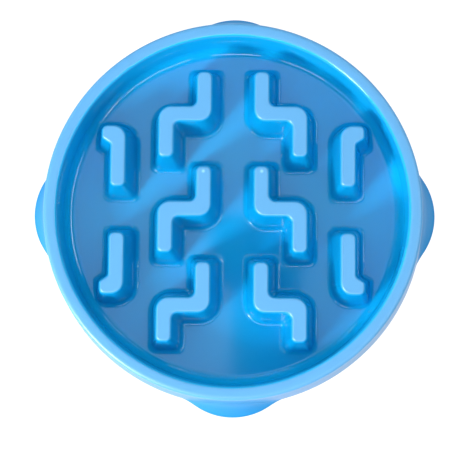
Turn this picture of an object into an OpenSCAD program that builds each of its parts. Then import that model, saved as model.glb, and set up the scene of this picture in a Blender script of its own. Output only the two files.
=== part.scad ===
// Slow feeder bowl: a round basin with ten hollow ridges on its floor, a rolled rim, a flared skirt
// and four foot lobes, moulded as one shell, with a rubber foot plugged into each lobe.
// Millimetres. +Z is up, the ground is z = 0, the bowl's axis is the Z axis, and -Y faces the viewer.

/* [Bowl] */
// Outer diameter of the rim
rim_d = 266; // [262:1:290]
// Width across the top of the rim
rim_w = 9.8; // [8:0.1:11]
// Height of the rim above the ground
bowl_h = 44; // [42:1:60]
// Depth of the basin, from the rim down to its floor
basin_depth = 35; // [33:0.5:36]
// Thickness of the moulded wall
wall = 2.2; // [1.6:0.1:2.6]
// Lean of the basin wall from upright, degrees
basin_lean = 2; // [1:0.5:6]
// Radius where the basin wall meets the floor
root_r = 7.5; // [4:0.5:9]
// Rounding of the rim's outer edge
rim_outer_r = 2.5; // [1.5:0.1:3]
// Rounding of the rim's inner edge
rim_inner_r = 2; // [1.5:0.1:3]
// How far the skirt flares out below the rim
skirt_flare = 4.1; // [1:0.1:7]
// Gap between the skirt's lower edge and the ground
skirt_lift = 1.5; // [0.5:0.1:2.5]

/* [Ridges] */
// How far the ridge tops lie below the rim
ridge_drop = 3.4; // [1:0.1:12]
// Width of a ridge across its top
ridge_w = 10.8; // [9.5:0.1:13]
// Slope of the ridge walls from upright, degrees
ridge_draft = 10; // [3:0.5:12]
// Rounding of the edge round a ridge top
ridge_edge_r = 1.5; // [0.5:0.1:1.8]
// Radius where a ridge's wall meets the floor
ridge_root_r = 3.4; // [1:0.1:4]
// Corner radius where a ridge turns, at its top
turn_r = 8.9; // [3:0.1:9.5]
// Corner radius at the ends of a ridge, at its top
end_r = 4.1; // [2:0.1:4.5]
// Corner radius at the ends of a ridge, at its root
end_root_r = 5.6; // [4:0.1:9]
// Corner radius in the inner corners of a ridge, at its top
valley_r = 4.6; // [1.5:0.1:5]
// Corner radius in the inner corners of a ridge, at its root
valley_root_r = 1.4; // [1:0.1:3]
// Distance between the rows of stepped ridges
row_pitch = 67.8; // [67:0.1:74]
// Place of a stepped ridge's upper arm, from the bowl's middle
inner_arm_x = 20.4; // [19:0.1:24]
// Place of a stepped ridge's lower arm, from the bowl's middle
outer_arm_x = 47.4; // [44:0.1:51]
// How far the web between the arms lies above its row's middle
web_y = 0.6; // [-1:0.1:2]
// Reach of the upper arm above its row's middle
arm_up = 30.8; // [26:0.1:31]
// Reach of the lower arm below its row's middle
arm_down = 30.3; // [26:0.1:31]
// Reach of the lower arm in the row nearest the viewer
last_arm_down = 25.1; // [22:0.1:28]
// Place of a side ridge's arm, from the bowl's middle
side_arm_x = 81.3; // [79:0.1:83]
// Near end of a side ridge, from the middle line
side_near = 16.4; // [14:0.1:20]
// Far end of a side ridge, from the middle line
side_far = 59.8; // [52:0.1:61]
// Reach of a side ridge's hook beyond its arm
hook_reach = 6.2; // [5.8:0.1:7]
// How far a hook's under side slants along the arm
hook_slant = 4.2; // [1:0.1:5]

/* [Feet] */
// How far a foot lobe stands out past the rim, at its lower edge
lobe_out = 13.3; // [10:0.1:16]
// Radius of a foot lobe at its lower edge, seen from above
lobe_base_r = 47.3; // [42:0.1:52]
// Radius of a foot lobe under the rim
lobe_top_r = 33; // [27:0.1:33.5]
// Distance from a lobe's lower edge to the middle of its rubber foot
foot_inset = 14.3; // [13.8:0.1:15.8]
// Diameter of a rubber foot's sole
sole_d = 21; // [19:0.5:22]
// Thickness of a rubber foot's sole
sole_h = 3; // [2.6:0.1:4]
// Diameter of the socket's bore
socket_bore = 14; // [12:0.5:14.5]
// Thickness of the socket's wall
socket_wall = 2; // [1.5:0.1:2.2]
// Length of the stem that is plugged into the socket
stem_l = 8; // [5:0.5:9]
// Clearance round the stem
stem_gap = 0.15; // [0.05:0.05:0.3]
// Bevel round the sole and the stem's tip
foot_bevel = 0.8; // [0.3:0.1:1]
// Radius of the grip groove in the sole
groove_r = 6.5; // [5:0.1:7]
// Width of the grip groove
groove_w = 1.6; // [1:0.1:2]
// Depth of the grip groove
groove_deep = 0.7; // [0.3:0.1:1]

/* [Hidden] */
// Overrun of every cut
over = 1;
// Least corner radius inside a hollow ridge
tight_r = 0.6;
// A hook's under side is short, so its two corner radii are shares of the hook's reach
hook_tip_share = 0.42;
hook_valley_share = 0.5;
// Steps in a ridge's corner, in its top edge, at its root, and in the bowl's rounded edges
corner_steps = 4;
edge_steps = 3;
root_steps = 3;
arc_steps = 8;
$fn = 96;

rim_r = rim_d / 2;
floor_z = bowl_h - basin_depth;
ridge_top = bowl_h - ridge_drop;
ridge_rise = ridge_top - floor_z - ridge_root_r;
root_spread = (ridge_root_r + ridge_rise * sin(ridge_draft)) / cos(ridge_draft);
mouth_r = rim_r - rim_w;
floor_r = mouth_r - basin_depth * tan(basin_lean);
root_in = root_r * tan((90 - basin_lean) / 2);
skirt_r = rim_r + skirt_flare;
flare_a = atan2(skirt_flare, bowl_h - rim_outer_r - skirt_lift);
wall_across = wall / cos(basin_lean);
lobe_reach = rim_r + lobe_out;
lobe_place = lobe_reach - lobe_base_r;
foot_place = lobe_reach - foot_inset;
lobe_top = bowl_h - wall - rim_outer_r;
lobe_slope = (lobe_base_r - lobe_top_r) / (lobe_top - skirt_lift);
lobe_wall = wall * sqrt(1 + lobe_slope * lobe_slope);
lobe_angles = [-90, 0, 90, 180];
blue = [0.2, 0.6, 0.92];
rubber = [0.13, 0.42, 0.72];

// Points along an arc about a centre, between two angles
function arc(centre, r, from, to, steps) =
    [for (k = [0 : steps])
        let (a = from + (to - from) * k / steps)
        centre + r * [cos(a), sin(a)]];

function unit(v) = v / norm(v);

// One level of a ridge: its outline spread outward by a distance, with round corners.
// A corner is [place, radius at the top, radius at the root], and the corners run anticlockwise.
function corner_radius(corner, way, spread) =
    spread < 0
        ? max(corner[1] + way * spread, tight_r)
        : corner[1] + (corner[2] - corner[1]) * spread / root_spread;

function ring(corners, spread) =
    let (n = len(corners))
    [for (i = [0 : n - 1])
        let (
            here = corners[i][0],
            u = unit(here - corners[(i + n - 1) % n][0]),
            v = unit(corners[(i + 1) % n][0] - here),
            way = sign(cross(u, v)),
            bend = acos(u * v),
            r = corner_radius(corners[i], way, spread),
            spot = here + spread * [u.y + v.y, -u.x - v.x] / (1 + u * v),
            centre = spot + r * (v - u) / sin(bend)
        )
        for (k = [0 : corner_steps])
            let (
                a = way * bend * k / corner_steps,
                along = [u.x * cos(a) - u.y * sin(a), u.x * sin(a) + u.y * cos(a)]
            )
            centre + way * r * [along.y, -along.x]];

// The places in a ring from one to another, going round
function stretch(from, to, n) = [for (k = [0 : (to - from + n) % n]) (from + k) % n];

// A ridge through [spread, height] levels. Its flat ends are fans from the middles of the turned corners.
module loft(corners, levels, turned) {
    n = len(corners) * (corner_steps + 1);
    top = (len(levels) - 1) * n;
    middles = [for (t = turned) t * (corner_steps + 1) + floor(corner_steps / 2)];
    fans = len(middles) > 1
        ? [stretch(middles[0], middles[1], n), stretch(middles[1], middles[0], n)]
        : [stretch(middles[0], (middles[0] + n - 1) % n, n)];
    points = [for (level = levels) for (p = ring(corners, level[0])) [p.x, p.y, level[1]]];
    lower = fans;
    upper = [for (f = fans) [for (k = [0 : len(f) - 1]) top + f[(len(f) - k) % len(f)]]];
    sides = [for (level = [0 : len(levels) - 2]) for (i = [0 : n - 1])
        let (a = level * n + i, b = level * n + (i + 1) % n)
        each [[a, a + n, b + n], [a, b + n, b]]];
    polyhedron(points = points, faces = concat(lower, upper, sides));
}

// Levels of a ridge's skin: the hollow curve at its root, its sloping wall, and its rounded top edge
function skin_levels() =
    let (inset = ridge_edge_r * (1 - sin(ridge_draft)) / cos(ridge_draft))
    concat(
        [[root_spread, floor_z - wall / 2]],
        [for (k = [1 : root_steps])
            let (a = (90 - ridge_draft) * k / root_steps)
            [root_spread - ridge_root_r * sin(a), floor_z + ridge_root_r * (1 - cos(a))]],
        [for (k = [0 : edge_steps])
            let (a = ridge_draft + (90 - ridge_draft) * k / edge_steps)
            [ridge_edge_r * cos(a) - inset, ridge_top - ridge_edge_r * (1 - sin(a))]]
    );

// Levels of the hollow inside a ridge, open below
function hollow_levels() =
    [for (z = [floor_z - wall - over, ridge_top - wall])
        [(ridge_top - z) * tan(ridge_draft) - wall / cos(ridge_draft), z]];

// Corners of a stepped ridge: an outer lower arm, a web, and an inner upper arm
function step_corners(down) =
    let (
        half = ridge_w / 2,
        inner = -inner_arm_x,
        outer = -outer_arm_x,
        turn_root_r = turn_r + root_spread
    )
    [
        [[outer - half, -down], end_r, end_root_r],
        [[outer + half, -down], end_r, end_root_r],
        [[outer + half, web_y - half], valley_r, valley_root_r],
        [[inner + half, web_y - half], turn_r, turn_root_r],
        [[inner + half, arm_up], end_r, end_root_r],
        [[inner - half, arm_up], end_r, end_root_r],
        [[inner - half, web_y + half], valley_r, valley_root_r],
        [[outer - half, web_y + half], turn_r, turn_root_r]
    ];

// Corners of a side ridge: an arm with a short hook, turned outward at its far end
function hook_corners() =
    let (
        half = ridge_w / 2,
        tip = -side_arm_x - half - hook_reach,
        under = side_far - ridge_w,
        slant = hook_slant / 2,
        tip_r = min(end_r, hook_reach * hook_tip_share)
    )
    [
        [[-side_arm_x - half, side_near], end_r, end_root_r],
        [[-side_arm_x + half, side_near], end_r, end_root_r],
        [[-side_arm_x + half, side_far], turn_r, turn_r + root_spread],
        [[tip, side_far], end_r, end_root_r],
        [[tip, under + slant], tip_r, tip_r],
        [[-side_arm_x - half, under - slant], min(valley_r, hook_reach * hook_valley_share), valley_root_r]
    ];

// All ten ridges at a set of levels
module ridges(levels) {
    for (side = [0, 1])
        mirror([side, 0, 0]) {
            for (row = [-1, 0, 1])
                translate([0, row * row_pitch, 0])
                    loft(step_corners(row < 0 ? last_arm_down : arm_down), levels, [7, 3]);
            for (end = [0, 1])
                mirror([0, end, 0])
                    loft(hook_corners(), levels, [2]);
        }
}

// The bowl as a solid block: its skirt and rim, without the basin
module block() {
    rim_edge = [rim_r - rim_outer_r, bowl_h - rim_outer_r];
    rotate_extrude()
        polygon(concat(
            [[0, skirt_lift], [skirt_r, skirt_lift]],
            arc(rim_edge, rim_outer_r, flare_a, 90, arc_steps),
            [[0, bowl_h]]
        ));
}

// The space inside the basin, up past the rim
module basin() {
    edge_in = rim_inner_r * tan((90 - basin_lean) / 2);
    rotate_extrude()
        polygon(concat(
            [[0, floor_z]],
            arc([floor_r - root_in, floor_z + root_r], root_r, -90, -basin_lean, arc_steps),
            arc([mouth_r + edge_in, bowl_h - rim_inner_r], rim_inner_r, 180 - basin_lean, 90, arc_steps),
            [[mouth_r + edge_in, bowl_h + over], [0, bowl_h + over]]
        ));
}

// The basin with its wall and floor, which the hollow under the bowl goes round
module basin_core() {
    rotate_extrude()
        polygon(concat(
            [[0, floor_z - wall]],
            arc([floor_r - root_in, floor_z + root_r], root_r + wall, -90, -basin_lean, arc_steps),
            [
                [mouth_r + wall_across + over * tan(basin_lean), bowl_h + over],
                [0, bowl_h + over]
            ]
        ));
}

// The solid under the skirt's inner face
module skirt_core() {
    slope = tan(flare_a);
    across = wall / cos(flare_a);
    low = skirt_lift - over;
    high = bowl_h - wall;
    outer_low = skirt_r + over * slope;
    outer_high = skirt_r - (high - skirt_lift) * slope;
    rotate_extrude()
        polygon([[0, low], [outer_low - across, low], [outer_high - across, high], [0, high]]);
}

// The cones of the four foot lobes, drawn in by a distance
module lobes(inset, drop) {
    for (a = lobe_angles)
        rotate([0, 0, a])
            translate([lobe_place, 0, skirt_lift - drop])
                cylinder(
                    r1 = lobe_base_r - inset + drop * lobe_slope,
                    r2 = lobe_top_r - inset,
                    h = lobe_top - skirt_lift + drop
                );
}

module full_body() {
    difference() {
        union() {
            block();
            lobes(0, 0);
        }
        basin();
    }
}

// Round sockets that hang inside the lobes and hold the rubber feet
module sockets() {
    intersection() {
        for (a = lobe_angles)
            rotate([0, 0, a])
                translate([foot_place, 0, sole_h])
                    difference() {
                        cylinder(d = socket_bore + 2 * socket_wall, h = bowl_h);
                        translate([0, 0, -over])
                            cylinder(d = socket_bore, h = bowl_h + 2 * over);
                    }
        full_body();
    }
}

module bowl() {
    color(blue)
        difference() {
            union() {
                difference() {
                    full_body();
                    difference() {
                        union() {
                            skirt_core();
                            lobes(lobe_wall, over);
                        }
                        basin_core();
                    }
                }
                sockets();
                ridges(skin_levels());
            }
            ridges(hollow_levels());
        }
}

// A rubber foot: a grooved round sole with a stem that is plugged into its socket
module foot(angle) {
    sole_r = sole_d / 2;
    stem_r = socket_bore / 2 - stem_gap;
    tip = sole_h + stem_l;
    color(rubber)
        rotate([0, 0, angle])
            translate([foot_place, 0, 0])
                rotate_extrude()
                    polygon([
                        [0, 0],
                        [groove_r - groove_w / 2, 0],
                        [groove_r, groove_deep],
                        [groove_r + groove_w / 2, 0],
                        [sole_r - foot_bevel, 0],
                        [sole_r, foot_bevel],
                        [sole_r, sole_h],
                        [stem_r, sole_h],
                        [stem_r, tip - foot_bevel],
                        [stem_r - foot_bevel, tip],
                        [0, tip]
                    ]);
}

bowl();
foot(lobe_angles[0]);  // foot_front
foot(lobe_angles[1]);  // foot_right
foot(lobe_angles[2]);  // foot_back
foot(lobe_angles[3]);  // foot_left
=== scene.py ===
# Slow feeder bowl: one blue moulded shell with ten hollow ridges and four foot lobes, on rubber feet.
import math

import bmesh
import bpy
import numpy as np
from mathutils import Euler, Matrix, Vector
from mathutils.geometry import tessellate_polygon


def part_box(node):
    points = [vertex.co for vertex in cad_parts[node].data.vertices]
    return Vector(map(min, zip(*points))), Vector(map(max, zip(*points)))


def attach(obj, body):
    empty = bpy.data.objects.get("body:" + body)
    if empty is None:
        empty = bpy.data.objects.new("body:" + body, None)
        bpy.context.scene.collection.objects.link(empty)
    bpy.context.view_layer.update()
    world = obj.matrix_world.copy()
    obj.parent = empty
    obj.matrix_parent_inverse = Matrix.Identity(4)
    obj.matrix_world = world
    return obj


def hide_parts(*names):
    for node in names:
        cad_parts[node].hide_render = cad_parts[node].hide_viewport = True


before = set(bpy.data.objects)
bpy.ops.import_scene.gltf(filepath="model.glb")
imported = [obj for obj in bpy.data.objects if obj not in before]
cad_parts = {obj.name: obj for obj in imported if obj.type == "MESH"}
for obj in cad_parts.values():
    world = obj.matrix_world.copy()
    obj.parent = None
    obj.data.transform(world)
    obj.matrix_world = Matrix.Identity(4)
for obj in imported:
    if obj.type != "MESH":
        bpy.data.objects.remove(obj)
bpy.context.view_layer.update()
mm = 0.001
mergeGap = 2e-6    # points nearer than this become one
tiny = 1e-6        # keeps a division from zero

bowlLow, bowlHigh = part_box("bowl")
soleLow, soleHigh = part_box("foot_right")
footNodes = {"foot_front": -90, "foot_right": 0, "foot_back": 90, "foot_left": 180}

# Sizes of the shell. The frame gives its height, its reach and the place of the feet.
shell = {
    "top": bowlHigh.z,
    "low": bowlLow.z,
    "reach": (bowlHigh.x - bowlLow.x) / 2,
    "rimRadius": 133.4 * mm,
    "rimWidth": 9.7 * mm,
    "depth": 35 * mm,
    "wall": 2.2 * mm,
    "lean": math.radians(2),       # of the basin wall, from upright
    "rootRadius": 7.5 * mm,        # where the basin wall meets the floor
    "flare": 4.1 * mm,             # how far the skirt leans out, from the rim down to its lower edge
    "rimCrown": 3.6 * mm,          # height of the rim's rounded top
    "rimFullness": 3.4,            # 2 is an ellipse, more is squarer
    "lobeBase": 47.3 * mm,         # a lobe's radius at its lower edge
    "lobeTop": 33 * mm,            # and under the rim
    "lobeTopDrop": 4.7 * mm,       # how far below the rim's top that is
    "lobeFlare": 2.6,              # 1 is a straight cone, more flares out lower down
    "lobeBlend": 3.2 * mm,         # hollow blend between a lobe and the skirt
    "blendDrop": 8 * mm,           # how far below the rim's shoulder the blend has its full size
    "edge": 0.5 * mm,              # rounding of the lower edge
    "around": 480,                 # steps round the bowl
    "rootPoints": 24,              # points along each stretch of its profile
    "wallPoints": 7,
    "rimPoints": 33,
    "skirtPoints": 26,
    "edgePoints": 4,
    "insidePoints": 20,
    "underRootPoints": 12,
    "sharpAngle": 40,              # degrees, past which an edge is shaded sharp
}

# The ridges. Places are from the bowl's middle, reaches from a row's middle.
ridge = {
    "drop": 3.4 * mm,              # below the rim's top
    "width": 10.8 * mm,
    "draft": math.radians(10),
    "edgeRadius": 2.2 * mm,
    "rootRadius": 3.4 * mm,        # where its wall meets the floor
    "footSpread": 4.6 * mm,        # where its skin turns under the floor, from its top outline
    "footDepth": 1.0 * mm,
    "footLean": 0.2 * mm,          # how much further out its foot is at that depth
    "topInset": 0.3 * mm,          # of its flat top's edge from its rounding
    "turnRadius": 8.9 * mm,        # corner radii at a ridge's top
    "endRadius": 4.1 * mm,
    "valleyRadius": 4.6 * mm,
    "endRootRadius": 5.6 * mm,     # and at its root
    "valleyRootRadius": 1.4 * mm,
    "leastRadius": 0.6 * mm,
    "pitch": 67.8 * mm,
    "innerArm": 20.4 * mm,
    "outerArm": 47.4 * mm,
    "up": 30.8 * mm,
    "down": 30.3 * mm,
    "lastDown": 25.1 * mm,
    "sideArm": 81.3 * mm,
    "sideNear": 16.4 * mm,
    "sideFar": 59.8 * mm,
    "hook": 6.2 * mm,
    "hookSlant": 4.2 * mm,         # of a hook's under side, along the arm
    "hookTipShare": 0.42,          # of the hook's reach, for the radius of its tip's lower corner
    "hookInnerShare": 0.5,         # and of the corner where its under side meets the arm
    "webRise": 0.6 * mm,           # of a stepped ridge's web, above its row's middle
    "cornerSteps": 9,
    "filletSteps": 7,
    "rootSteps": 12,
    "wallSteps": 5,
}

floorZ = shell["top"] - shell["depth"]
underZ = floorZ - shell["wall"]
mouthRadius = shell["rimRadius"] - shell["rimWidth"]
basinSlope = math.tan(shell["lean"])
ridgeRise = shell["depth"] - ridge["drop"] - ridge["rootRadius"]
rootSpread = (ridge["rootRadius"] + ridgeRise * math.sin(ridge["draft"])) / math.cos(ridge["draft"])
floorRadius = mouthRadius - shell["depth"] * basinSlope
wallAcross = shell["wall"] / math.cos(shell["lean"])
rootIn = shell["rootRadius"] * math.tan(math.pi / 4 - shell["lean"] / 2)
lobePlace = shell["reach"] - shell["lobeBase"]
rimShoulder = shell["top"] - shell["rimCrown"]


def smoothStep(low, high, value):
    # 3 t^2 - 2 t^3, where t goes from 0 to 1 between low and high
    t = np.clip((value - low) / (high - low), 0, 1)
    return t * t * (3 - 2 * t)


def unitRows(v):
    # Each row divided by its length
    return v / np.linalg.norm(v, axis=-1, keepdims=True)


class Patches:
    # Gathers surface patches and merges them into one mesh where their edges meet.
    def __init__(self):
        self.points, self.faces, self.count = [], [], 0

    def add(self, points, faces):
        self.points.append(np.asarray(points, float).reshape(-1, 3))
        self.faces.extend((np.asarray(faces) + self.count).tolist())
        self.count += len(self.points[-1])

    def grid(self, rings, flip=False):
        # rings[row, step, xyz], closed along the step: each face joins two steps of two rows
        rows, steps = rings.shape[:2]
        start = np.arange(rows - 1)[:, None] * steps + np.arange(steps)[None, :]
        nextStep = np.arange(rows - 1)[:, None] * steps + (np.arange(steps)[None, :] + 1) % steps
        quads = np.stack([start, nextStep, nextStep + steps, start + steps], -1).reshape(-1, 4)
        self.add(rings, quads[:, ::-1] if flip else quads)

    def flat(self, loops, up=True):
        # Fills a flat region between its outer loop and the loops of its holes
        triangles = np.array(tessellate_polygon([[Vector(p) for p in loop] for loop in loops]))
        points = np.concatenate(loops)
        a, b, c = (points[triangles[:, k]] for k in range(3))
        area = (b[:, 0] - a[:, 0]) * (c[:, 1] - a[:, 1]) - (b[:, 1] - a[:, 1]) * (c[:, 0] - a[:, 0])
        turned = (area > 0) != up
        triangles[turned] = triangles[turned][:, ::-1]
        self.add(points, triangles)

    def build(self, name, sharpAngle):
        mesh = bpy.data.meshes.new(name)
        mesh.from_pydata(np.concatenate(self.points), [], self.faces)
        work = bmesh.new()
        work.from_mesh(mesh)
        bmesh.ops.remove_doubles(work, verts=work.verts, dist=mergeGap)
        openEdges = sum(not e.is_manifold for e in work.edges)
        work.to_mesh(mesh)
        work.free()
        mesh.polygons.foreach_set("use_smooth", np.ones(len(mesh.polygons), bool))
        mesh.set_sharp_from_angle(angle=math.radians(sharpAngle))
        mesh.update()
        piece = bpy.data.objects.new(name, mesh)
        bpy.context.scene.collection.objects.link(piece)
        print(f"{name}: {len(mesh.vertices)} points, {len(mesh.polygons)} faces, {openEdges} open edges")
        return piece


def ridgeRing(corners, spread):
    # A corner moves outward by spread along both its edges' normals, and an arc rounds it:
    # centre + radius * normal, as the edge turns from the incoming one to the outgoing one.
    # The radius goes evenly from its value at the top to its value at the root, and follows the
    # offset inside the top.
    places, radii, rootRadii = corners[:, :2], corners[:, 2], corners[:, 3]
    outgoing = unitRows(np.roll(places, -1, 0) - places)
    incoming = np.roll(outgoing, 1, 0)
    way = np.sign(incoming[:, 0] * outgoing[:, 1] - incoming[:, 1] * outgoing[:, 0])
    even = (incoming * outgoing).sum(1, keepdims=True)
    bend = np.arccos(even)
    inside, outside = radii + way * spread, radii + (rootRadii - radii) * spread / rootSpread
    radius = np.maximum(inside if spread < 0 else outside, ridge["leastRadius"])[:, None]
    both = incoming + outgoing
    moved = places + spread * np.stack([both[:, 1], -both[:, 0]], -1) / (1 + even)
    centre = moved + radius * (outgoing - incoming) / np.sin(bend)
    angle = way[:, None] * bend * np.linspace(0, 1, ridge["cornerSteps"] + 1)[None, :]
    alongX = incoming[:, :1] * np.cos(angle) - incoming[:, 1:] * np.sin(angle)
    alongY = incoming[:, :1] * np.sin(angle) + incoming[:, 1:] * np.cos(angle)
    normal = way[:, None, None] * np.stack([alongY, -alongX], -1)
    return (centre[:, None] + radius[:, None] * normal).reshape(-1, 2)


def ridgeRings(corners, spreads, heights):
    # One ring round the ridge for each spread and height
    flat = [ridgeRing(corners, s) for s in spreads]
    return np.stack([np.column_stack([ring, np.full(len(ring), z)]) for ring, z in zip(flat, heights)])


def skinLevels():
    # Out under the floor from the floor's own edge, then upward: a hollow arc at the root, the sloping
    # wall, and the rounded top edge
    top, draft = shell["top"] - ridge["drop"], ridge["draft"]
    root, edge = ridge["rootRadius"], ridge["edgeRadius"]
    foot, low = ridge["footSpread"], floorZ - ridge["footDepth"]
    footLevels = [[foot, floorZ], [foot + ridge["footLean"], low], [rootSpread, low]]
    a = np.linspace(math.pi * 3 / 2, math.pi + draft, ridge["rootSteps"])
    rootLevels = np.column_stack([rootSpread + root * np.cos(a), floorZ + root + root * np.sin(a)])
    edgeSpread = -edge * (1 - math.sin(draft)) / math.cos(draft)
    a = np.linspace(draft, math.pi / 2, ridge["filletSteps"])
    edgeLevels = np.column_stack([edgeSpread + edge * np.cos(a), top - edge + edge * np.sin(a)])
    t = np.linspace(0, 1, ridge["wallSteps"] + 1)[1:-1, None]
    wallLevels = rootLevels[-1] * (1 - t) + edgeLevels[0] * t
    inner = [[edgeSpread - ridge["topInset"], top]]
    return np.concatenate([footLevels, rootLevels, wallLevels, edgeLevels, inner])


def hollowLevels():
    # The ridge's hollow: its wall's slope, moved in by the wall's thickness
    top, draft = shell["top"] - ridge["drop"], ridge["draft"]
    z = np.linspace(underZ, top - shell["wall"], ridge["wallSteps"])
    return np.column_stack([(top - z) * math.tan(draft) - shell["wall"] / math.cos(draft), z])


def ridgeCorners():
    # Corners of the ten ridges, anticlockwise: x, y, radius at the top, radius at the root
    half, hook, web = ridge["width"] / 2, ridge["hook"], ridge["webRise"]
    end = [ridge["endRadius"], ridge["endRootRadius"]]
    turn = [ridge["turnRadius"], ridge["turnRadius"] + rootSpread]
    valley = [ridge["valleyRadius"], ridge["valleyRootRadius"]]
    inner, outer, side = -ridge["innerArm"], -ridge["outerArm"], -ridge["sideArm"]
    tip, under, slant = side - half - hook, ridge["sideFar"] - ridge["width"], ridge["hookSlant"] / 2
    tipRadius, innerRadius = ridge["hookTipShare"] * hook, ridge["hookInnerShare"] * hook
    shapes = []
    for row in (-1, 0, 1):
        down = ridge["lastDown"] if row < 0 else ridge["down"]
        stepped = np.array([
            [outer - half, -down, *end],
            [outer + half, -down, *end],
            [outer + half, web - half, *valley],
            [inner + half, web - half, *turn],
            [inner + half, ridge["up"], *end],
            [inner - half, ridge["up"], *end],
            [inner - half, web + half, *valley],
            [outer - half, web + half, *turn],
        ])
        shapes.append(stepped + [0, row * ridge["pitch"], 0, 0])
    hooked = np.array([
        [side - half, ridge["sideNear"], *end],
        [side + half, ridge["sideNear"], *end],
        [side + half, ridge["sideFar"], *turn],
        [tip, ridge["sideFar"], *end],
        [tip, under + slant, tipRadius, tipRadius],
        [side - half, under - slant, innerRadius, ridge["valleyRootRadius"]],
    ])
    shapes += [hooked, (hooked * [1, -1, 1, 1])[::-1]]
    return shapes + [(s * [-1, 1, 1, 1])[::-1] for s in shapes]


def lobeRadius(angle, z, inset):
    # Distance from the bowl's middle to a lobe's cone, seen along each direction round the bowl:
    # place * cos + sqrt(radius^2 - (place * sin)^2), in the nearest quarter turn. The cone's radius
    # grows from its top to its base by t^lobeFlare, where t is the share of its height.
    quarter = (angle + math.pi / 4) % (math.pi / 2) - math.pi / 4
    top = shell["top"] - shell["lobeTopDrop"]
    t = np.clip((top - z) / (top - shell["low"]), 0, 1)
    radius = shell["lobeTop"] + (shell["lobeBase"] - shell["lobeTop"]) * t ** shell["lobeFlare"] - inset
    across = lobePlace * np.sin(quarter)
    return lobePlace * np.cos(quarter) + np.sqrt(np.maximum(radius ** 2 - across ** 2, 0))


def skirtRadius(z):
    # A straight line that leans out below the rim's shoulder
    flareHeight = rimShoulder - shell["low"]
    return shell["rimRadius"] + shell["flare"] * (rimShoulder - z) / flareHeight


def outsideRadius(angle, z, inset=0.0):
    # The greater of the skirt and the lobe, with a hollow blend where the two are nearly alike
    a, b = skirtRadius(z) - inset, lobeRadius(angle, z, inset)
    blend = tiny + shell["lobeBlend"] * smoothStep(0, shell["blendDrop"], rimShoulder - z)
    return np.maximum(a, b) + np.maximum(blend - np.abs(a - b), 0) ** 2 / (4 * blend)


def buildShell():
    patches = Patches()
    angle = np.linspace(0, 2 * math.pi, shell["around"], endpoint=False)[None, :]

    def turned(radius, z):
        # Rings about the bowl's axis: radius * cos, radius * sin, z. A radius may change along its ring.
        return np.stack(np.broadcast_arrays(radius * np.cos(angle), radius * np.sin(angle), z), -1)

    # Basin: root arc, then the wall
    lean = shell["lean"]
    a = np.linspace(-math.pi / 2, -lean, shell["rootPoints"])[:, None]
    rootR = floorRadius - rootIn + shell["rootRadius"] * np.cos(a)
    rootZ = floorZ + shell["rootRadius"] + shell["rootRadius"] * np.sin(a)
    wallZ = np.linspace(rootZ[-1, 0], rimShoulder, shell["wallPoints"])[1:-1, None]
    wallR = floorRadius + (wallZ - floorZ) * basinSlope

    # Rim: a full rounded section between the wall's line and the skirt's line,
    # u = sign(cos) |cos|^(2/n) across and v = |sin|^(2/n) up.
    a = np.linspace(math.pi, 0, shell["rimPoints"])[:, None]
    power = 2 / shell["rimFullness"]
    u = np.sign(np.cos(a)) * np.abs(np.cos(a)) ** power
    rimZ = rimShoulder + shell["rimCrown"] * np.abs(np.sin(a)) ** power
    left = floorRadius + (rimZ - floorZ) * basinSlope
    right = skirtRadius(rimZ)
    rimR = (left + right) / 2 + u * (right - left) / 2

    # Skirt and lobes, then the lower edge and the inner face up to the under side of the rim
    edge = shell["edge"]
    t = np.linspace(0, 1, shell["skirtPoints"])[1:, None]
    skirtZ = rimShoulder + (shell["low"] + edge - rimShoulder) * t
    skirtR = outsideRadius(angle, skirtZ)
    slope = (shell["lobeBase"] - shell["lobeTop"]) / (shell["top"] - shell["lobeTopDrop"] - shell["low"])
    inset = shell["wall"] * math.sqrt(1 + slope ** 2 / 2)
    a = np.linspace(0, math.pi / 2, shell["edgePoints"])[1:, None]
    bottomR = outsideRadius(angle, shell["low"]) - edge * (1 - np.cos(a))
    bottomZ = shell["low"] + edge * (1 - np.sin(a))
    returnR = outsideRadius(angle, shell["low"], inset) + edge * (1 - np.cos(a[::-1]))
    returnZ = bottomZ[::-1]
    highUnder = shell["top"] - shell["wall"]
    insideZ = np.linspace(shell["low"] + edge, highUnder, shell["insidePoints"])[:, None]
    insideR = outsideRadius(angle, insideZ, inset)

    # The basin wall's hollow side, down to the under side of the floor
    a = np.linspace(-lean, -math.pi / 2, shell["underRootPoints"])[:, None]
    thick = shell["rootRadius"] + shell["wall"]
    underWallZ = np.array([[highUnder]])
    underWallR = floorRadius + wallAcross + (underWallZ - floorZ) * basinSlope
    underRootR = floorRadius - rootIn + thick * np.cos(a)
    underRootZ = floorZ + shell["rootRadius"] + thick * np.sin(a)
    profile = (
        (rootR, rootZ), (wallR, wallZ), (rimR, rimZ),
        (skirtR, skirtZ), (bottomR, bottomZ), (returnR, returnZ),
        (insideR, insideZ), (underWallR, underWallZ), (underRootR, underRootZ),
    )
    rings = np.concatenate([turned(radius, z) for radius, z in profile])
    patches.grid(rings, flip=True)

    # Ridges: skin above, hollow below, and the two flat floors between them
    skin, hollow = skinLevels(), hollowLevels()
    floorLoops, underLoops = [rings[0]], [rings[-1]]
    for corners in ridgeCorners():
        outside = ridgeRings(corners, skin[:, 0], skin[:, 1])
        inside = ridgeRings(corners, hollow[:, 0], hollow[:, 1])
        patches.grid(outside)
        patches.flat([outside[-1]], up=True)
        patches.grid(inside, flip=True)
        patches.flat([inside[-1]], up=False)
        floorLoops.append(outside[0])
        underLoops.append(inside[0])
    patches.flat(floorLoops, up=True)
    patches.flat(underLoops, up=False)
    piece = patches.build("bowlShell", shell["sharpAngle"])
    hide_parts("bowl")
    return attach(piece, "root")


bowlShell = buildShell()


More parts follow.
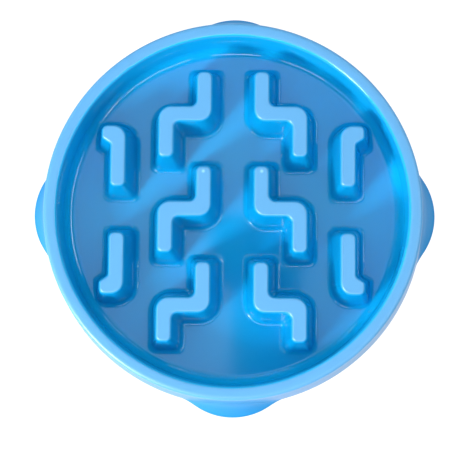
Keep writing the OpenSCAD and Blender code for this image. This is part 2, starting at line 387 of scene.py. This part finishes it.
# Sockets inside the lobes, and the rubber feet that are plugged into them
foot = {
    "place": (soleLow.x + soleHigh.x) / 2,
    "soleRadius": (soleHigh.x - soleLow.x) / 2,
    "soleHeight": 3 * mm,
    "height": soleHigh.z,
    "bore": 7 * mm,
    "socketWall": 2 * mm,
    "stemGap": 0.15 * mm,
    "bevel": 0.8 * mm,
    "shoulderEdge": 0.3 * mm,      # rounding of the sole's upper edge
    "groove": 6.5 * mm,            # radius of the round groove in the sole
    "grooveWidth": 1.6 * mm,
    "grooveDeep": 0.7 * mm,
    "grooveFullness": 0.8,         # 1 is a plain cosine, less is squarer
    "capRadius": 1 * mm,           # of the flat disc in the middle of each end
    "socketBevel": 0.3 * mm,
    "sink": 0.8 * mm,              # how far a socket reaches into the skin above it
    "around": 96,
    "groovePoints": 9,
    "arcPoints": 6,
    "sharpAngle": 35,
}


def aroundFoot(radius, z, degrees):
    # Rings about a foot's own axis, carried out to its lobe
    a = np.linspace(0, 2 * math.pi, foot["around"], endpoint=False)[None, :]
    x, y = foot["place"] + radius * np.cos(a), radius * np.sin(a)
    turn = math.radians(degrees)
    return np.stack(np.broadcast_arrays(
        x * math.cos(turn) - y * math.sin(turn),
        x * math.sin(turn) + y * math.cos(turn),
        z,
    ), -1)


def skinAbove(points):
    # Height of the hollow side of the skin over each point: the lowest of the basin's root curve
    # (centre - sqrt(thick^2 - past^2)), the lobe's cone and the under side of the rim
    fromAxis = np.hypot(points[..., 0], points[..., 1])
    top = shell["top"] - shell["lobeTopDrop"]
    slope = (shell["lobeBase"] - shell["lobeTop"]) / (top - shell["low"])
    inset = shell["wall"] * math.sqrt(1 + slope ** 2)
    thick = shell["rootRadius"] + shell["wall"]
    past = np.clip(fromAxis - floorRadius + rootIn, 0, thick)
    rootCurve = floorZ + shell["rootRadius"] - np.sqrt(thick ** 2 - past ** 2)
    fromWall = np.where(past < thick, rootCurve, shell["top"])
    across = np.minimum(np.abs(points[..., 0]), np.abs(points[..., 1]))
    along = np.maximum(np.abs(points[..., 0]), np.abs(points[..., 1])) - lobePlace
    outward = np.maximum(np.hypot(across, along) + inset - shell["lobeTop"], 0)
    share = outward / (shell["lobeBase"] - shell["lobeTop"])
    fromLobe = top - (top - shell["low"]) * share ** (1 / shell["lobeFlare"])
    fromRim = np.full_like(fromWall, shell["top"] - shell["wall"])
    return np.minimum(np.minimum(fromWall, fromLobe), fromRim)


def buildSockets():
    # A tube's profile, from the inner top round its bevelled lower edge to the outer top
    patches = Patches()
    inner, outer = foot["bore"], foot["bore"] + foot["socketWall"]
    bevel, tops, bevels = foot["socketBevel"], [0, 5], [1, 4]
    for degrees in footNodes.values():
        radius = np.array([inner, inner, inner + bevel, outer - bevel, outer, outer])[:, None]
        rings = aroundFoot(radius, foot["soleHeight"], degrees)
        rings[tops, :, 2] = skinAbove(rings[tops]) + foot["sink"]
        rings[bevels, :, 2] += bevel
        rings = np.concatenate([rings, rings[:1]])
        patches.grid(rings, flip=True)
    piece = patches.build("footSockets", shell["sharpAngle"])
    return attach(piece, "root")


def buildFoot(node, degrees):
    # A turned profile: grooved sole, shoulder, stem and its rounded tip. The groove's depth is
    # deep * cos^fullness, and each edge is a quarter circle.
    patches = Patches()
    sole, tip, bevel, small = foot["soleRadius"], foot["height"], foot["bevel"], foot["shoulderEdge"]
    stem, soleTop, cap = foot["bore"] - foot["stemGap"], foot["soleHeight"], foot["capRadius"]
    middle, half, deep = foot["groove"], foot["grooveWidth"] / 2, foot["grooveDeep"]
    t = np.linspace(-1, 1, foot["groovePoints"])[1:-1]
    groove = [(middle + half * s, deep * math.cos(s * math.pi / 2) ** foot["grooveFullness"]) for s in t]
    a = np.linspace(0, math.pi / 2, foot["arcPoints"])
    edge = [(sole - bevel + bevel * math.sin(s), bevel - bevel * math.cos(s)) for s in a]
    shoulder = [(sole - small + small * math.cos(s), soleTop - small + small * math.sin(s)) for s in a]
    nose = [(stem - bevel + bevel * math.cos(s), tip - bevel + bevel * math.sin(s)) for s in a]
    profile = [(cap, 0), (middle - half, 0), *groove, (middle + half, 0)]
    profile += [*edge, *shoulder, (stem, soleTop), *nose, (cap, tip)]
    radius, z = (np.array(v, float)[:, None] for v in zip(*profile))
    rings = aroundFoot(radius, z, degrees)
    patches.grid(rings, flip=False)
    patches.flat([rings[0]], up=False)
    patches.flat([rings[-1]], up=True)
    piece = patches.build("rubber_" + node, foot["sharpAngle"])
    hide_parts(node)
    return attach(piece, "root")


footSockets = buildSockets()
rubberFeet = [buildFoot(node, degrees) for node, degrees in footNodes.items()]


# Materials
class Value:
    # One output of a node tree. Python's own operators on it add Math nodes.
    def __init__(self, tree, socket):
        self.tree, self.socket = tree, socket

    def maths(self, operation, *others):
        node = self.tree.nodes.new("ShaderNodeMath")
        node.operation = operation
        for slot, item in zip(node.inputs, others):
            if isinstance(item, Value):
                self.tree.links.new(item.socket, slot)
            else:
                slot.default_value = item
        return Value(self.tree, node.outputs[0])

    def __add__(self, other):
        return self.maths("ADD", self, other)

    def __radd__(self, other):
        return self.maths("ADD", other, self)

    def __sub__(self, other):
        return self.maths("SUBTRACT", self, other)

    def __rsub__(self, other):
        return self.maths("SUBTRACT", other, self)

    def __mul__(self, other):
        return self.maths("MULTIPLY", self, other)

    def __rmul__(self, other):
        return self.maths("MULTIPLY", other, self)

    def __truediv__(self, other):
        return self.maths("DIVIDE", self, other)

    def __rtruediv__(self, other):
        return self.maths("DIVIDE", other, self)

    def clamped(self, low, high):
        return self.maths("MINIMUM", self.maths("MAXIMUM", self, low), high)


class Tree:
    # A node tree whose nodes are added by one method. An input named _3 is the fourth socket.
    def __init__(self, tree):
        self.tree = tree

    def add(self, kind, settings=None, output=0, **inputs):
        node = self.tree.nodes.new("ShaderNode" + kind)
        for name, value in (settings or {}).items():
            setattr(node, name, value)
        for name, value in inputs.items():
            self.connect(node.inputs[int(name[1:])] if name[1:].isdigit() else node.inputs[name], value)
        return Value(self.tree, node.outputs[output])

    def connect(self, slot, value):
        if isinstance(value, Value):
            self.tree.links.new(value.socket, slot)
        else:
            slot.default_value = value


class Finish(Tree):
    # A material: its own node tree round the shader that Blender gives it
    def __init__(self, name):
        self.material = bpy.data.materials.new(name)
        self.material.use_nodes = True
        super().__init__(self.material.node_tree)
        self.shader = self.tree.nodes["Principled BSDF"]

    def set(self, **values):
        for name, value in values.items():
            self.connect(self.shader.inputs[name.replace("_", " ")], value)


def ownPlace(finish):
    # Metres from the middle of the bowl's stand, where every piece has its origin
    return finish.add("TexCoord", output="Object")


def noise(finish, where, settings):
    scale, detail, share = settings
    inputs = {"Vector": where, "Scale": scale, "Detail": detail, "Roughness": share}
    return finish.add("TexNoise", {}, "Fac", **inputs)


def between(value, ends):
    # 0 at the first end, 1 at the second
    start, end = ends
    return ((value - start) / (end - start)).clamped(0.0, 1.0)


def opaque(colour):
    return (*colour, 1)


# The shell's plastic. A pair holds the two radii, heights or distances between which a finish comes in,
# and a noise its scale, its detail and the share that each finer layer keeps.
plastic = {
    "colour": (0.0015, 0.276, 0.585),       # in the basin
    "paintedLightWallColour": (0.003, 0.36, 0.71),      # painted light: the basin's wall is painted lighter, for light that comes through it and falls on it
    "paintedShadeOutsideColour": (0.006, 0.222, 0.53),  # below the rim, painted darker: painted shade on the skirt and lobes
    "rubbedSheenColour": (0.079, 0.312, 0.60),      # on the rim and the ridge tops: the paler rubbed finish, and a painted sheen for the reflection of the bright tent, which the gloss doesn't see
    "gateColour": (0.22, 0.52, 0.85),       # of the small pale marks on the middle ridges
    "glossRoughness": 0.055,
    "topRoughness": 0.4,
    "outsideRoughness": 0.33,
    "ior": 1.36,
    "wall": (0.114, 0.121),                 # radii, as are the next three
    "rim": (0.1244, 0.1257),
    "ridges": (0.1244, 0.1224),             # no ridge reaches further out
    "outside": (0.131, 0.134),
    "rubbedAndSheen": (0.04018, 0.04034),           # heights on a ridge, for its top's colour
    "worn": (0.0384, 0.0396),               # and for its edge's dullness
    "skirt": (0.0375, 0.0395),              # heights on the rim
    "gate": (0.0206, 0.0271, 0.0406),       # place of a mark, mirrored in x
    "gateEdge": (0.0015, 0.000525),         # distances from it
    "ripple": 0.00005,                      # height of the moulding's slow waves, metres
    "rippleNoise": (14.0, 1.0, 0.5),
    "gateRise": 3.0,                        # height of a mark and of the rubbed grain, in ripples
    "grainRise": 0.15,
    "grainNoise": (1400.0, 2.0, 0.5),
    "shift": 0.06,                          # how much the colour wanders
    "shiftNoise": (9.0, 3.0, 0.5),
    "smear": 0.05,                          # how much the gloss does
    "smearNoise": (30.0, 5.0, 0.6),
}


def plasticFinish():
    finish = Finish("glossBluePlastic")
    where = ownPlace(finish)
    across, along, height = (finish.add("SeparateXYZ", output=k, Vector=where) for k in range(3))
    flat = finish.add("VectorMath", {"operation": "MULTIPLY"}, _0=where, _1=(1, 1, 0))
    radius = finish.add("VectorMath", {"operation": "LENGTH"}, "Value", _0=flat)
    wall, outside = between(radius, plastic["wall"]), between(radius, plastic["outside"])
    rim, upper = between(radius, plastic["rim"]), between(height, plastic["skirt"])
    ridges, tops = between(radius, plastic["ridges"]), between(height, plastic["rubbedAndSheen"])
    # Rubbed rim and ridge tops: a real duller finish, and in colour also a painted sheen
    rubbedAndSheen = ridges * tops + rim * upper
    worn = ridges * between(height, plastic["worn"])
    mirrored = finish.add("CombineXYZ", X=across.maths("ABSOLUTE", across), Y=along, Z=height)
    off = finish.add("VectorMath", {"operation": "DISTANCE"}, "Value", _0=mirrored, _1=plastic["gate"])
    gate = between(off, plastic["gateEdge"])

    # Colour: one layer over the other. The wall layer is painted light, the outside layer painted shade,
    # and the top layer a rubbed finish with a painted sheen
    tint = opaque(plastic["colour"])
    layers = {"paintedLightWallColour": wall, "paintedShadeOutsideColour": outside, "rubbedSheenColour": rubbedAndSheen, "gateColour": gate}
    for name, share in layers.items():
        tint = finish.add("Mix", {"data_type": "RGBA"}, 2, _0=share, _6=tint, _7=opaque(plastic[name]))
    slow = noise(finish, where, plastic["shiftNoise"])
    colour = finish.add("HueSaturation", {}, 0, Color=tint, Value=1.0 + (slow - 0.5) * plastic["shift"])

    # Relief and gloss
    wave = noise(finish, where, plastic["rippleNoise"])
    grain = noise(finish, where, plastic["grainNoise"]) * rubbedAndSheen * plastic["grainRise"]
    rise = wave + grain + gate * plastic["gateRise"]
    bump = finish.add("Bump", {}, 0, Height=rise, Strength=1.0, Distance=plastic["ripple"])
    smear = noise(finish, where, plastic["smearNoise"])
    gloss = plastic["glossRoughness"] + smear * smear * plastic["smear"]
    satin = gloss + (plastic["outsideRoughness"] - gloss) * outside
    dull = rubbedAndSheen.maths("MAXIMUM", rubbedAndSheen, worn)
    roughness = satin + (plastic["topRoughness"] - satin) * dull
    finish.set(Base_Color=colour, Roughness=roughness, Normal=bump, IOR=plastic["ior"])
    return finish.material


rubber = {
    "colour": (0.03, 0.16, 0.42),
    "dustColour": (0.09, 0.24, 0.5),
    "dustShare": 0.4,
    "dustNoise": (120.0, 4.0, 0.5),
    "roughness": 0.7,
    "roughnessShift": 0.2,
    "grain": 0.0001,                       # height of its grain, metres
    "grainStrength": 0.4,
    "grainNoise": (900.0, 2.0, 0.5),
}


def rubberFinish():
    finish = Finish("footRubber")
    where = ownPlace(finish)
    grain = noise(finish, where, rubber["grainNoise"])
    strength, height = rubber["grainStrength"], rubber["grain"]
    bump = finish.add("Bump", {}, 0, Height=grain, Strength=strength, Distance=height)
    share = noise(finish, where, rubber["dustNoise"]) * rubber["dustShare"]
    clean, dusty = opaque(rubber["colour"]), opaque(rubber["dustColour"])
    colour = finish.add("Mix", {"data_type": "RGBA"}, 2, _0=share, _6=clean, _7=dusty)
    roughness = rubber["roughness"] + (grain - 0.5) * rubber["roughnessShift"]
    finish.set(Base_Color=colour, Roughness=roughness, Normal=bump)
    return finish.material


bluePlastic, blueRubber = plasticFinish(), rubberFinish()
for piece in (bowlShell, footSockets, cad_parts["bowl"]):
    piece.data.materials.clear()
    piece.data.materials.append(bluePlastic)
for piece in (*rubberFeet, *(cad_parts[n] for n in footNodes)):
    piece.data.materials.clear()
    piece.data.materials.append(blueRubber)
print("materials done")


# Floor, lights and camera. The sky is a light tent, brighter on the key light's side, and the gloss
# doesn't see it. The bowl's floor mirrors the softboxes overhead, with an unlit gap between them.
studio = {
    "floorSize": 6.0,
    "floorColour": (0.12, 0.12, 0.12),
    "floorRoughness": 0.55,
    "floorRoughnessShift": 0.1,
    "floorNoise": (3.0, 2.0, 0.5),
    "floorGlow": 0.93,                     # the floor is a lit table, so shadows on it are faint
    "tent": 1.02,                          # the tent's radiance low down
    "tentLean": 0.5,                       # how much brighter it is towards the key light
    "keyAzimuth": 221.0,                   # of the key light, degrees from +X
    "keyHeight": 30.0,                     # and above the floor
    "keyDistance": 1.6,
    "keySize": 0.46,
    "keyRadiance": 53.0,
    "middleSize": 0.42,                    # of the key light's bright middle, for the gloss alone
    "middleRadiance": 160.0,
    "boxHeight": 2.0,
    "softboxes": {                         # x, y, width, length, radiance
        "softboxLeft": (-0.305, 0.23, 0.39, 0.86, 2.4),
        "softboxRight": (0.2475, 0.23, 0.305, 0.86, 2.1),
        "softboxBack": (-0.0075, 0.45, 0.205, 0.42, 2.4),
        "softboxFront": (-0.0075, -0.155, 0.205, 0.09, 2.2),
        "softboxNear": (-0.085, -0.018, 0.05, 0.184, 2.6),
    },
    "strips": {                            # the same, for the gloss alone: their glints line the roots
        "stripLeft": (-1.6, 0.1, 0.07, 3.2, 20.0),
        "stripRight": (1.5, 0.1, 0.3, 3.2, 20.0),
        "stripBack": (0, 1.7, 3.2, 0.1, 20.0),
        "stripFront": (0, -1.5, 3.2, 0.3, 20.0),
    },
}
azimuth, keyHeight = (math.radians(studio[k]) for k in ("keyAzimuth", "keyHeight"))
keyAcross = Vector((math.cos(azimuth), math.sin(azimuth), 0))


def buildFloor():
    half = studio["floorSize"] / 2
    corners = [(-half, -half, 0), (half, -half, 0), (half, half, 0), (-half, half, 0)]
    mesh = bpy.data.meshes.new("studioFloor")
    mesh.from_pydata(corners, [], [(0, 1, 2, 3)])
    piece = bpy.data.objects.new("studioFloor", mesh)
    bpy.context.scene.collection.objects.link(piece)
    finish = Finish("paleFloor")
    grain = noise(finish, ownPlace(finish), studio["floorNoise"])
    roughness = studio["floorRoughness"] + grain * studio["floorRoughnessShift"]
    finish.set(Base_Color=opaque(studio["floorColour"]), Roughness=roughness)
    finish.set(Emission_Color=(1, 1, 1, 1), Emission_Strength=studio["floorGlow"])
    mesh.materials.append(finish.material)


def areaLight(name, shape, width, length, radiance, matrix, glossOnly=False):
    # A lamp's power is radiance * pi * area
    area = width * length * (math.pi / 4 if shape == "DISK" else 1)
    data = bpy.data.lights.new(name, "AREA")
    data.shape, data.size, data.energy = shape, width, radiance * math.pi * area
    if shape == "RECTANGLE":
        data.size_y = length
    piece = bpy.data.objects.new(name, data)
    piece.visible_camera, piece.visible_diffuse = False, not glossOnly
    bpy.context.scene.collection.objects.link(piece)
    piece.matrix_world = matrix


def keyLights():
    # The key light and its bright middle, on one line that leans by the key's height
    size, middle = studio["keySize"], studio["middleSize"]
    towards = keyAcross * math.cos(keyHeight) + Vector((0, 0, math.sin(keyHeight)))
    spot = towards * studio["keyDistance"]
    matrix = Matrix.Translation(spot) @ (-spot).to_track_quat("-Z", "Y").to_matrix().to_4x4()
    areaLight("keyLight", "DISK", size, size, studio["keyRadiance"], matrix)
    areaLight("keyMiddle", "DISK", middle, middle, studio["middleRadiance"], matrix, glossOnly=True)


def overhead(kind, glossOnly):
    for name, (x, y, width, length, radiance) in studio[kind].items():
        matrix = Matrix.Translation((x, y, studio["boxHeight"]))
        areaLight(name, "RECTANGLE", width, length, radiance, matrix, glossOnly)


def setWorld():
    # Radiance = tent + lean * height * direction towards the key
    world = bpy.data.worlds.new("lightTent")
    bpy.context.scene.world = world
    world.use_nodes = True
    world.cycles_visibility.glossy = False
    tree = Tree(world.node_tree)
    direction = tree.add("TexCoord", output="Generated")
    height = tree.add("SeparateXYZ", output=2, Vector=direction)
    towards = tree.add("VectorMath", {"operation": "DOT_PRODUCT"}, "Value", _0=direction, _1=keyAcross)
    background = world.node_tree.nodes["Background"]
    strength = studio["tent"] + towards * height.clamped(0.0, 1.0) * studio["tentLean"]
    tree.connect(background.inputs["Strength"], strength)
    background.inputs["Color"].default_value = (1, 1, 1, 1)


buildFloor()
setWorld()
keyLights()
overhead("softboxes", glossOnly=False)
overhead("strips", glossOnly=True)
bpy.context.scene.view_settings.view_transform = "Standard"

# The photograph's own viewpoint
camera = {
    "place": (27.4 * mm, -115.1 * mm, 978.2 * mm),
    "turn": (0.1104, 0.0306, 0.0053),      # radians, about z first, then y, then x
    "lens": 105.3,                         # millimetres, as Blender takes it
    "sensor": 36,
}
cameraData = bpy.data.cameras.new("photoCamera")
cameraData.lens, cameraData.sensor_width = camera["lens"], camera["sensor"]
cameraPiece = bpy.data.objects.new("photoCamera", cameraData)
bpy.context.scene.collection.objects.link(cameraPiece)
turn = Euler(camera["turn"], "ZYX").to_matrix().to_4x4()
cameraPiece.matrix_world = Matrix.Translation(camera["place"]) @ turn
bpy.context.scene.camera = cameraPiece
print("studio done")
